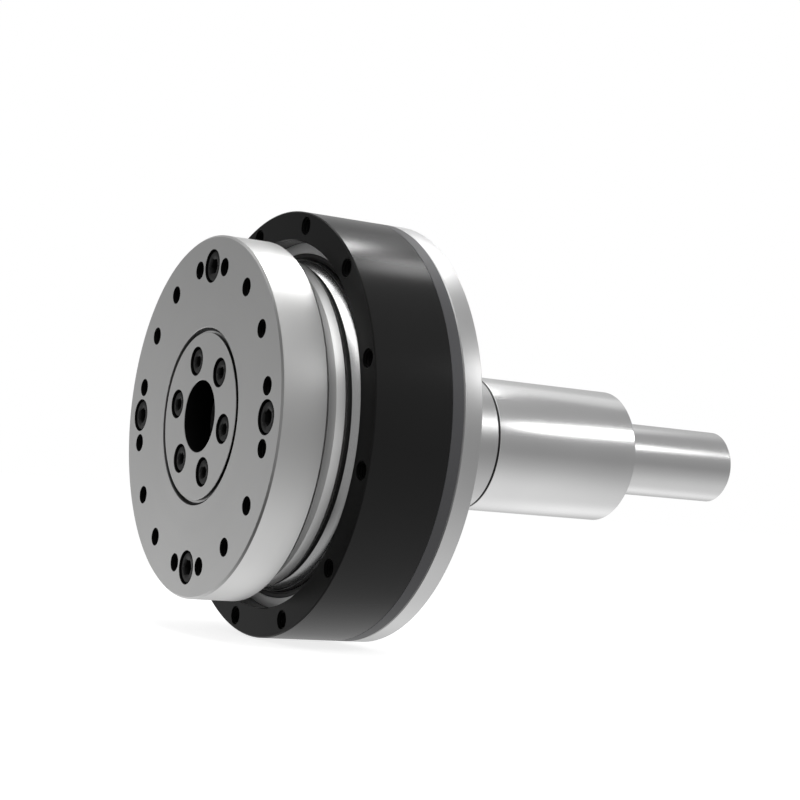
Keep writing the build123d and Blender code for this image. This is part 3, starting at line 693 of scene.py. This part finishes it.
def output_flange():
    """The disc, its coved neck and the recess that takes the hub, drilled for its screws and the load's."""
    made = turned(
        "flange_disc",
        [
            (GROOVE_DEPTH, HUB_RECESS),
            (GROOVE_DEPTH, GROOVE_OUTER),
            (FINE_EDGE, GROOVE_OUTER),
            (FLANGE_START, GROOVE_OUTER + FINE_EDGE),
            (FLANGE_START, FLANGE_RADIUS - RIM_CHAMFER),
            (RIM_CHAMFER, FLANGE_RADIUS),
            (RIM_LENGTH - RIM_BACK_CHAMFER, FLANGE_RADIUS, EDGE),
            (RIM_LENGTH, FLANGE_RADIUS - RIM_BACK_CHAMFER, EDGE),
            (RIM_LENGTH, NECK_FOOT_RADIUS, COVE),
            (NECK_CONE_START, NECK_WAIST_RADIUS, EDGE),
            (NECK_CONE_END, NECK_RADIUS, EDGE),
            (GASKET_START, NECK_RADIUS - NECK_END_DROP, EDGE),
            (GASKET_START, GASKET_RADIUS - GASKET_SEAT),
            (FLANGE_END, GASKET_RADIUS - GASKET_SEAT),
            (FLANGE_END, INNER_RING_BORE),
            (WEB_END, INNER_RING_BORE, SOFT_EDGE),
            (WEB_END, WEB_BORE),
            (HUB_END, WEB_BORE),
            (HUB_END, HUB_RECESS),
        ],
        "output",
        "satin_steel",
        satin,
        ["output_flange"],
    )
    # The groove's floor gets painted shade.
    refinish(made, bore_painted_shade, faces=[GROOVE_DEPTH])
    drilled(made, tap_hole(0.0, OUTPUT_TAP), OUTPUT_CIRCLE, OUTPUT_TAP_ANGLES)
    drilled(made, counterbore(0.0, HEAD_SINK, FLANGE_END, M5), OUTPUT_CIRCLE, FLANGE_SCREW_ANGLES)
    smooth(made)
    thread_sleeves("flange_threads", 0.0, OUTPUT_TAP, OUTPUT_CIRCLE, OUTPUT_TAP_ANGLES, "output")


def output_hub():
    """The round plate in the disc's recess, with its bore and the counterbores of its screws."""
    made = turned(
        "hub_disc",
        [
            (HUB_START, HUB_BORE + FINE_EDGE),
            (HUB_START, GROOVE_INNER - FINE_EDGE),
            (FINE_EDGE, GROOVE_INNER),
            (GROOVE_DEPTH, GROOVE_INNER),
            (GROOVE_DEPTH, HUB_RADIUS),
            (HUB_END, HUB_RADIUS),
            (HUB_END, HUB_BORE),
            (FINE_EDGE, HUB_BORE),
        ],
        "output",
        "satin_steel",
        satin,
        ["output_hub"],
    )
    # The bore and the groove's inner wall get painted shade.
    refinish(made, bore_painted_shade, walls=[HUB_BORE, GROOVE_INNER])
    drilled(made, counterbore(0.0, HEAD_SINK, HUB_END, M4), HUB_CIRCLE, HUB_SCREW_ANGLES)
    smooth(made)


def output_screws():
    """The screws of the hub and those of the disc."""
    sets = [
        ("hub_screw_set", M4, HUB_SCREW_TIP, HUB_CIRCLE, HUB_SCREW_ANGLES, "hub_screws"),
        ("flange_screw_set", M5, FLANGE_SCREW_TIP, OUTPUT_CIRCLE, FLANGE_SCREW_ANGLES, "flange_screws"),
    ]
    for name, size, tip, circle, angles, node in sets:
        socket_screws(name, size, HEAD_SINK, tip, circle, angles, "output", [node])


def gasket():
    """The sealing ring in the groove: a round section pressed a little flat."""
    inner = GASKET_RADIUS - GASKET_THICKNESS
    made = turned(
        "gasket_ring",
        [
            (GASKET_START, inner, GASKET_INNER_EDGE),
            (GASKET_START, GASKET_RADIUS, EDGE),
            (GASKET_END, GASKET_RADIUS, EDGE),
            (GASKET_END, inner, GASKET_INNER_EDGE),
        ],
        "output",
        "black_rubber",
        rubber,
        ["flange_gasket"],
    )
    smooth(made)


def bearing_inner_ring():
    """The inner ring with its V track, whose ground outside shows behind the groove."""
    made = turned(
        "inner_race_ring",
        [
            (INNER_RING_START, INNER_RING_BORE, EDGE),
            (INNER_RING_END, INNER_RING_BORE, EDGE),
            (INNER_RING_END, INNER_RING_RADIUS, EDGE),
            (ROLLER_PLANE + RACE_DEPTH, INNER_RING_RADIUS),
            (ROLLER_PLANE, INNER_RING_RADIUS - RACE_DEPTH),
            (ROLLER_PLANE - RACE_DEPTH, INNER_RING_RADIUS),
            (INNER_RING_START + INNER_RING_LEAD, INNER_RING_RADIUS, SOFT_EDGE),
            (INNER_RING_START, INNER_RING_RADIUS - INNER_RING_LEAD_DEPTH, FINE_EDGE),
        ],
        "output",
        "bright_steel",
        bright,
        ["bearing_inner_ring"],
    )
    smooth(made)


def output_seal():
    """The seal: a flat ring with a raised lip on the inner ring, and the steel ring that holds it."""
    carrier = turned(
        "seal_carrier_ring",
        [
            (CARRIER_START, RACE_RADIUS, FINE_EDGE),
            (CARRIER_END, RACE_RADIUS),
            (CARRIER_END, CARRIER_RADIUS),
            (CARRIER_START, CARRIER_RADIUS, FINE_EDGE),
        ],
        "housing",
        "grey_steel",
        carrier_grey,
        ["seal_carrier"],
    )
    smooth(carrier)
    lip = INNER_RING_RADIUS + LIP_GAP
    ring = turned(
        "seal_lip_ring",
        [
            (SEAL_START + LIP_TIP, lip, FINE_EDGE),
            (SEAL_START, lip + LIP_RISE, FINE_EDGE),
            (SEAL_START + LIP_RISE, lip + LIP_WIDTH, FINE_EDGE),
            (SEAL_START + LIP_RISE, SEAL_RADIUS - LIP_RISE, FINE_EDGE),
            (SEAL_START, SEAL_RADIUS, FINE_EDGE / 2),
            (SEAL_END, SEAL_RADIUS),
            (SEAL_END, lip + FINE_EDGE),
        ],
        "housing",
        "seal_rubber",
        seal_rubber,
        ["output_seal"],
    )
    smooth(ring)


def housing_ring():
    """The bearing's black outer ring with its V track, its mouth for the seal and its tapped holes."""
    made = turned(
        "housing_shell",
        [
            (HOUSING_START, MOUTH_RADIUS + MOUTH_CHAMFER),
            (HOUSING_START, HOUSING_RADIUS - EDGE),
            (HOUSING_START + EDGE, HOUSING_RADIUS),
            (HOUSING_END - HOUSING_BACK_CHAMFER, HOUSING_RADIUS),
            (HOUSING_END, HOUSING_RADIUS - HOUSING_BACK_CHAMFER),
            (HOUSING_END, REGISTER_RADIUS),
            (INNER_RING_END, REGISTER_RADIUS),
            (INNER_RING_END, RACE_RADIUS),
            (ROLLER_PLANE + RACE_DEPTH, RACE_RADIUS),
            (ROLLER_PLANE, RACE_RADIUS + RACE_DEPTH),
            (ROLLER_PLANE - RACE_DEPTH, RACE_RADIUS),
            (MOUTH_END, RACE_RADIUS),
            (MOUTH_END, MOUTH_RADIUS),
            (HOUSING_START + MOUTH_CHAMFER, MOUTH_RADIUS),
        ],
        "housing",
        "black_finish",
        black_coat,
        ["housing_ring"],
    )
    # The front face gets the darker copy of the black: painted shade.
    refinish(made, painted_shade_black_face, faces=[HOUSING_START])
    drilled(made, tap_hole(HOUSING_START, HOUSING_TAP), HOUSING_CIRCLE, HOUSING_TAP_ANGLES)
    smooth(made)
    thread_sleeves(
        "housing_threads",
        HOUSING_START,
        HOUSING_TAP,
        HOUSING_CIRCLE,
        HOUSING_TAP_ANGLES,
        "housing",
    )


def filler_plug():
    """The roller filler's cap: a disc bent to the ring's outside, with a hexagon socket in it.

    A point at distance p and angle a on the disc lies at x = plane + p cos a, and round the ring by
    p sin a / ring radius, at the ring's radius less its depth.
    """
    turn = around(SCREW_ROUND)
    one = np.ones_like(turn)
    six = hexagon(turn, FILLER_SOCKET)
    rows = [
        (0 * one, FILLER_SOCKET_DEPTH),
        (six, FILLER_SOCKET_DEPTH),
        (six, 0.0),
        ((FILLER_RADIUS - FILLER_CHAMFER) * one, 0.0),
        (FILLER_RADIUS * one, FILLER_CHAMFER),
        (FILLER_RADIUS * one, FILLER_DEPTH),
        (0 * one, FILLER_DEPTH),
    ]
    out = np.stack([row for row, _ in rows])
    deep = np.array([depth for _, depth in rows])[:, None]
    angle = radians(FILLER_ANGLE) + out * np.sin(turn) / HOUSING_RADIUS
    reach = (HOUSING_RADIUS - FILLER_SINK) * np.ones_like(angle) - deep
    points = [ROLLER_PLANE + out * np.cos(turn), -reach * np.sin(angle), reach * np.cos(angle)]
    made = piece(
        "filler_cap",
        np.stack(points, -1).reshape(-1, 3),
        grid_faces(len(rows), len(turn), False),
        "housing",
        "black_finish",
        oxide,
        ["filler_plug"],
    )
    smooth(made)


def circular_spline():
    """The ring gear: its flange shows as the grey band, and its bore is toothed.

    The bore's radius is the pitch radius plus half the tooth's depth times a clipped cosine of the angle.
    """
    outline = eased(
        [
            (GEAR_START, RING_PITCH),
            (GEAR_START, REGISTER_RADIUS - REGISTER_FIT, EDGE),
            (GEAR_FLANGE_START, REGISTER_RADIUS - REGISTER_FIT),
            (GEAR_FLANGE_START, GEAR_RADIUS - FINE_EDGE),
            (GEAR_FLANGE_START + FINE_EDGE, GEAR_RADIUS),
            (GEAR_END - GEAR_CHAMFER, GEAR_RADIUS),
            (GEAR_END, GEAR_RADIUS - GEAR_CHAMFER),
            (GEAR_END, RING_PITCH),
        ]
    )
    segments = RING_TEETH * TOOTH_POINTS
    wave = np.clip(TOOTH_FLATNESS * np.cos(RING_TEETH * around(segments)), -1, 1)
    factor = np.ones((len(outline), segments))
    factor[[0, -1]] = 1 + TOOTH_HALF_DEPTH * wave / RING_PITCH
    points = revolved(outline, segments, factor)
    quads = grid_faces(len(outline), segments, True)
    made = piece("ring_gear", points, quads, "housing", "dark_iron", dark_band, ["circular_spline"])
    smooth(made)


def rear_flange():
    """The silver ring and its boss, with the counterbores and the screws at the back."""
    made = turned(
        "rear_cover",
        [
            (REAR_START, REAR_RECESS_RADIUS),
            (REAR_START, REAR_RADIUS - EDGE),
            (REAR_START + EDGE, REAR_RADIUS),
            (REAR_FACE - EDGE, REAR_RADIUS, FINE_EDGE),
            (REAR_FACE, REAR_RADIUS - EDGE, FINE_EDGE),
            (REAR_FACE, BOSS_RADIUS, BOSS_FILLET),
            (BOSS_END, BOSS_RADIUS, EDGE),
            (BOSS_END, BEARING_SEAT_RADIUS, EDGE),
            (BEARING_STOP, BEARING_SEAT_RADIUS),
            (BEARING_STOP, BEARING_STOP_BORE),
            (REAR_RECESS_END, BEARING_STOP_BORE),
            (REAR_RECESS_END, REAR_RECESS_RADIUS),
        ],
        "housing",
        "silver_steel",
        silver,
        ["rear_flange"],
    )
    cutter = counterbore(REAR_FACE, REAR_HEAD_SINK, REAR_START, M4, way=-1)
    drilled(made, cutter, ASSEMBLY_CIRCLE, ASSEMBLY_ANGLES)
    smooth(made)
    socket_screws(
        "assembly_screw_set",
        M4,
        REAR_FACE - REAR_HEAD_SINK,
        ASSEMBLY_SCREW_TIP,
        ASSEMBLY_CIRCLE,
        ASSEMBLY_ANGLES,
        "housing",
        ["assembly_screws"],
    )


def input_shaft():
    """The shaft: the cam's seat, the bearings' seat, the collar and the journal with its centre hole."""
    made = turned(
        "shaft_turned",
        [
            (SHAFT_START, 0),
            (SHAFT_START, CAM_SEAT_RADIUS, EDGE),
            (CAM_SHOULDER, CAM_SEAT_RADIUS),
            (CAM_SHOULDER, BEARING_JOURNAL_RADIUS, EDGE),
            (COLLAR_START, BEARING_JOURNAL_RADIUS),
            (COLLAR_START, COLLAR_RADIUS, FINE_EDGE),
            (COLLAR_END - COLLAR_CHAMFER, COLLAR_RADIUS, FINE_EDGE),
            (COLLAR_END, COLLAR_RADIUS - COLLAR_CHAMFER, FINE_EDGE),
            (COLLAR_END, JOURNAL_RADIUS, JOURNAL_FILLET),
            (SHAFT_END - JOURNAL_CHAMFER, JOURNAL_RADIUS, FINE_EDGE),
            (SHAFT_END, JOURNAL_RADIUS - JOURNAL_CHAMFER, FINE_EDGE),
            (SHAFT_END, CENTRE_MOUTH, FINE_EDGE),
            (SHAFT_END - (CENTRE_MOUTH - CENTRE_DRILL) / tan(CENTRE_ANGLE), CENTRE_DRILL),
            (SHAFT_END - CENTRE_DEPTH, CENTRE_DRILL),
            (SHAFT_END - CENTRE_DEPTH, 0),
        ],
        "input",
        "polished_steel",
        polished,
        ["input_shaft"],
    )
    smooth(made)


# The frame's own nodes that stay, with their finishes

NODE_FINISHES = {
    "bore_plug": rubber,
    "crossed_rollers": race,
    "flexspline": spring,
    "clamp_ring": spring,
    "wave_cam": spring,
    "flex_inner_race": race,
    "flex_outer_race": race,
    "flex_balls": race,
    "flex_cage": cage_plastic,
    "cam_key": spring,
    "cam_circlip": oxide,
    "support_outer_rings": race,
    "support_inner_rings": race,
    "support_balls": race,
    "bearing_spacer": spring,
    "bore_circlip": oxide,
    "shaft_seal": seal_rubber,
}


def finish_inner_nodes():
    """Gives the pieces inside their finishes."""
    for name, material in NODE_FINISHES.items():
        mesh = frame["nodes"][name].data
        mesh.materials.clear()
        mesh.materials.append(material)


# The studio

# The camera: place, lens and sensor in millimetres, and its nearest and farthest view in metres
CAMERA_PLACE = (-220.3, -492.9, -16.75)
CAMERA_TURN = radians(29.876)
CAMERA_RISE = radians(2.741)
CAMERA_LEAN = radians(5.49)
LENS = 88.16
SENSOR = 36.0
NEAREST = 0.01
FARTHEST = 20.0

# Area lights: name, place, target, direction of the length, length and width, and radiance
SOFT_BOXES = [
    ("top box front", (122, 55, 292), (10, -35, 44), (1, 0, 0), (36, 75), 7.5),
    ("top box middle", (152, 68, 292), (33, -35, 44), (1, 0, 0), (26, 40), 18.0),
    ("top box rear", (183, 10, 292), (50, -40, 44), (1, 0, 0), (36, 66), 5.0),
    ("shaft strip", (293, -212, 160), (125, -19, 6), (125, 60, 8), (160, 54), 4.0),
    ("collar fill", (235, 85, 237), (90, -12, 16), (1, 0, 0), (210, 110), 0.24),
    ("side light", (-40, -420, 50), (20, -46, 0), (1, 0, 0), (300, 300), 0.2),
    ("overhead box", (-62, -175, 370), (20, -30, 30), (0, 1, 0), (490, 306), 1.3),
    ("foot box", (108, -65, 370), (17, -33, 32), (0, 1, 0), (170, 34), 1.2),
    ("ring box", (-60, 135, 370), (23, -25, 38), (0, 1, 0), (130, 110), 1.5),
]

# An area light's power for each square metre and unit of radiance
POWER_OF_RADIANCE = 4

# The floor: half its side in metres, its gap under the housing in millimetres, its grey and its glow
FLOOR_HALF = 6.0
FLOOR_GAP = 0.4
FLOOR_GREY = 0.6
FLOOR_GLOW = 0.81

# The room's grey levels by the height of a direction, from -1 straight down to 1 straight up
ROOM_LEVELS = [
    (-1.0, 0.86),
    (-0.8, 0.74),
    (-0.57, 0.53),
    (-0.44, 0.43),
    (-0.30, 0.36),
    (-0.12, 0.28),
    (0.05, 0.30),
    (0.50, 0.34),
    (0.80, 0.37),
    (1.0, 0.40),
]
FACE_LEVELS = [
    (-0.8, 0.3),
    (-0.5, 0.9),
    (-0.3, 1.0),
    (-0.1, 0.74),
    (0.05, 0.40),
    (0.2, 0.29),
    (0.5, 0.28),
    (1.0, 0.3),
]
FACE_GAIN = 1.2
BEHIND_GAIN = 0.2
LOW_GAIN = 0.25
BLACK_LEVEL = 0.02
FRONT_LEVEL = 0.26
HEAD_ON_LEVEL = 0.5

# Where the room's zones fade in, as parts of a direction: from no effect to the full one
BEHIND_Y = (0.0, 0.6)
LOW_X = (0.45, 0.55)
LOW_Y = (0.1, 0.5)
LOW_Z = (-0.35, -0.65)
FACE_X = (0.2, -0.2)
BLACK_X = (-0.50, -0.62)
FRONT_X = (-0.2, -0.45)
FRONT_END_X = (-0.9, -0.78)
FRONT_Y = (-0.3, -0.5)
HEAD_ON_X = (-0.90, -0.95)


def facing(place, *axes):
    """The matrix of an object at a place in millimetres whose own X, Y and Z lie along the given axes."""
    return Matrix.Translation(Vector(place) * MM) @ Matrix(axes).transposed().to_4x4()


def camera():
    """A long lens, turned from +Y towards +X, looking slightly up, with its upright leaning towards -X."""
    level = cos(CAMERA_RISE)
    ahead = Vector((sin(CAMERA_TURN) * level, cos(CAMERA_TURN) * level, sin(CAMERA_RISE)))
    upright = Vector((-sin(CAMERA_LEAN), 0, cos(CAMERA_LEAN)))
    right = ahead.cross(upright).normalized()
    made = new_object("camera", bpy.data.cameras.new("camera"))
    made.data.lens = LENS
    made.data.sensor_width = SENSOR
    made.data.clip_start = NEAREST
    made.data.clip_end = FARTHEST
    made.matrix_world = facing(CAMERA_PLACE, right, right.cross(ahead), -ahead)
    bpy.context.scene.camera = made


def soft_box(name, place, target, along, size, radiance):
    """A soft rectangular light that faces a target, with its length along a direction."""
    data = bpy.data.lights.new(name, "AREA")
    data.shape = "RECTANGLE"
    data.size = size[0] * MM
    data.size_y = size[1] * MM
    data.energy = POWER_OF_RADIANCE * radiance * data.size * data.size_y
    made = new_object(name, data)
    back = (Vector(place) - Vector(target)).normalized()
    across = back.cross(Vector(along)).normalized()
    made.matrix_world = facing(place, across.cross(back), across, back)
    made.visible_camera = False


def lights():
    """Three small boxes over the housing, a strip and a fill for the shaft, and four dim neck lights."""
    for box in SOFT_BOXES:
        soft_box(*box)


def floor():
    """A pale sheet just under the housing that only the camera sees.

    It glows a little, so shadows stay faint.
    """
    mesh = bpy.data.meshes.new("floor")
    height = -(HOUSING_RADIUS + FLOOR_GAP) * MM
    corners = [(x * FLOOR_HALF, y * FLOOR_HALF, height) for x, y in [(-1, -1), (1, -1), (1, 1), (-1, 1)]]
    mesh.from_pydata(corners, [], [(0, 1, 2, 3)])
    made = new_object("floor", mesh)
    made.visible_glossy = False
    made.visible_diffuse = False
    made.visible_shadow = False
    material, _, shader = finish("pale floor", 0.0, 0.0)
    set_inputs(shader, {"Base Color": (*grey(FLOOR_GREY), 1), "Roughness": 0.9})
    set_inputs(shader, {"Emission Color": (*grey(1), 1), "Emission Strength": FLOOR_GLOW})
    mesh.materials.append(material)


def eased_step(tree, value, bounds):
    """A value eased from 0 at the first bound to 1 at the second."""
    node = tree.nodes.new("ShaderNodeMapRange")
    node.interpolation_type = "SMOOTHSTEP"
    set_inputs(node, {"From Min": bounds[0], "From Max": bounds[1]})
    tree.links.new(value, node.inputs["Value"])
    return node.outputs["Result"]


def level_by_height(tree, height, stops):
    """A grey level read from (height, level) stops, where height runs from -1 below to 1 above."""
    node = tree.nodes.new("ShaderNodeValToRGB")
    elements = node.color_ramp.elements
    while len(elements) < len(stops):
        elements.new(0.5)
    for element, (place, value) in zip(elements, stops):
        element.position = (place + 1) / 2
        element.color = (*grey(value), 1)
    tree.links.new(maths(tree, "ADD", maths(tree, "MULTIPLY", height, 0.5), 0.5), node.inputs[0])
    return node.outputs[0]


def blended(tree, share, first, second):
    """first * (1 - share) + second * share."""
    rest = maths(tree, "SUBTRACT", 1.0, share)
    return maths(tree, "ADD", product(tree, first, rest), product(tree, second, share))


def surroundings():
    """A white backdrop to the camera, and to the object a grey room with a bright floor.

    The room is brighter behind the object, most of all low down beyond the shaft's end. It darkens fast
    with height where the disc's face looks. In front of the disc it is black, but for a grey part on the
    camera's side and a lighter one straight ahead.
    """
    world = bpy.data.worlds.new("studio")
    bpy.context.scene.world = world
    world.use_nodes = True
    tree = world.node_tree
    tree.nodes.clear()
    x, y, z = separated(tree, tree.nodes.new("ShaderNodeTexCoord").outputs["Generated"])
    behind = product(tree, eased_step(tree, y, BEHIND_Y), BEHIND_GAIN)
    low = product(
        tree,
        eased_step(tree, y, LOW_Y),
        eased_step(tree, z, LOW_Z),
        eased_step(tree, x, LOW_X),
        LOW_GAIN,
    )
    side = maths(tree, "ADD", maths(tree, "ADD", level_by_height(tree, z, ROOM_LEVELS), behind), low)
    face = product(tree, level_by_height(tree, z, FACE_LEVELS), FACE_GAIN)
    front = product(
        tree,
        eased_step(tree, y, FRONT_Y),
        eased_step(tree, x, FRONT_X),
        eased_step(tree, x, FRONT_END_X),
    )
    level = blended(tree, eased_step(tree, x, FACE_X), side, face)
    level = blended(tree, eased_step(tree, x, BLACK_X), level, BLACK_LEVEL)
    level = blended(tree, front, level, FRONT_LEVEL)
    level = blended(tree, eased_step(tree, x, HEAD_ON_X), level, HEAD_ON_LEVEL)
    room = tree.nodes.new("ShaderNodeBackground")
    tree.links.new(level, room.inputs["Strength"])
    backdrop = tree.nodes.new("ShaderNodeBackground")
    for shader in (room, backdrop):
        set_inputs(shader, {"Color": (*grey(1), 1)})
    mix = tree.nodes.new("ShaderNodeMixShader")
    tree.links.new(tree.nodes.new("ShaderNodeLightPath").outputs["Is Camera Ray"], mix.inputs[0])
    tree.links.new(room.outputs[0], mix.inputs[1])
    tree.links.new(backdrop.outputs[0], mix.inputs[2])
    tree.links.new(mix.outputs[0], tree.nodes.new("ShaderNodeOutputWorld").inputs["Surface"])


output_flange()
output_hub()
output_screws()
gasket()
bearing_inner_ring()
output_seal()
housing_ring()
filler_plug()
circular_spline()
rear_flange()
input_shaft()
finish_inner_nodes()
camera()
floor()
surroundings()
lights()
bpy.context.scene.view_settings.view_transform = "Standard"
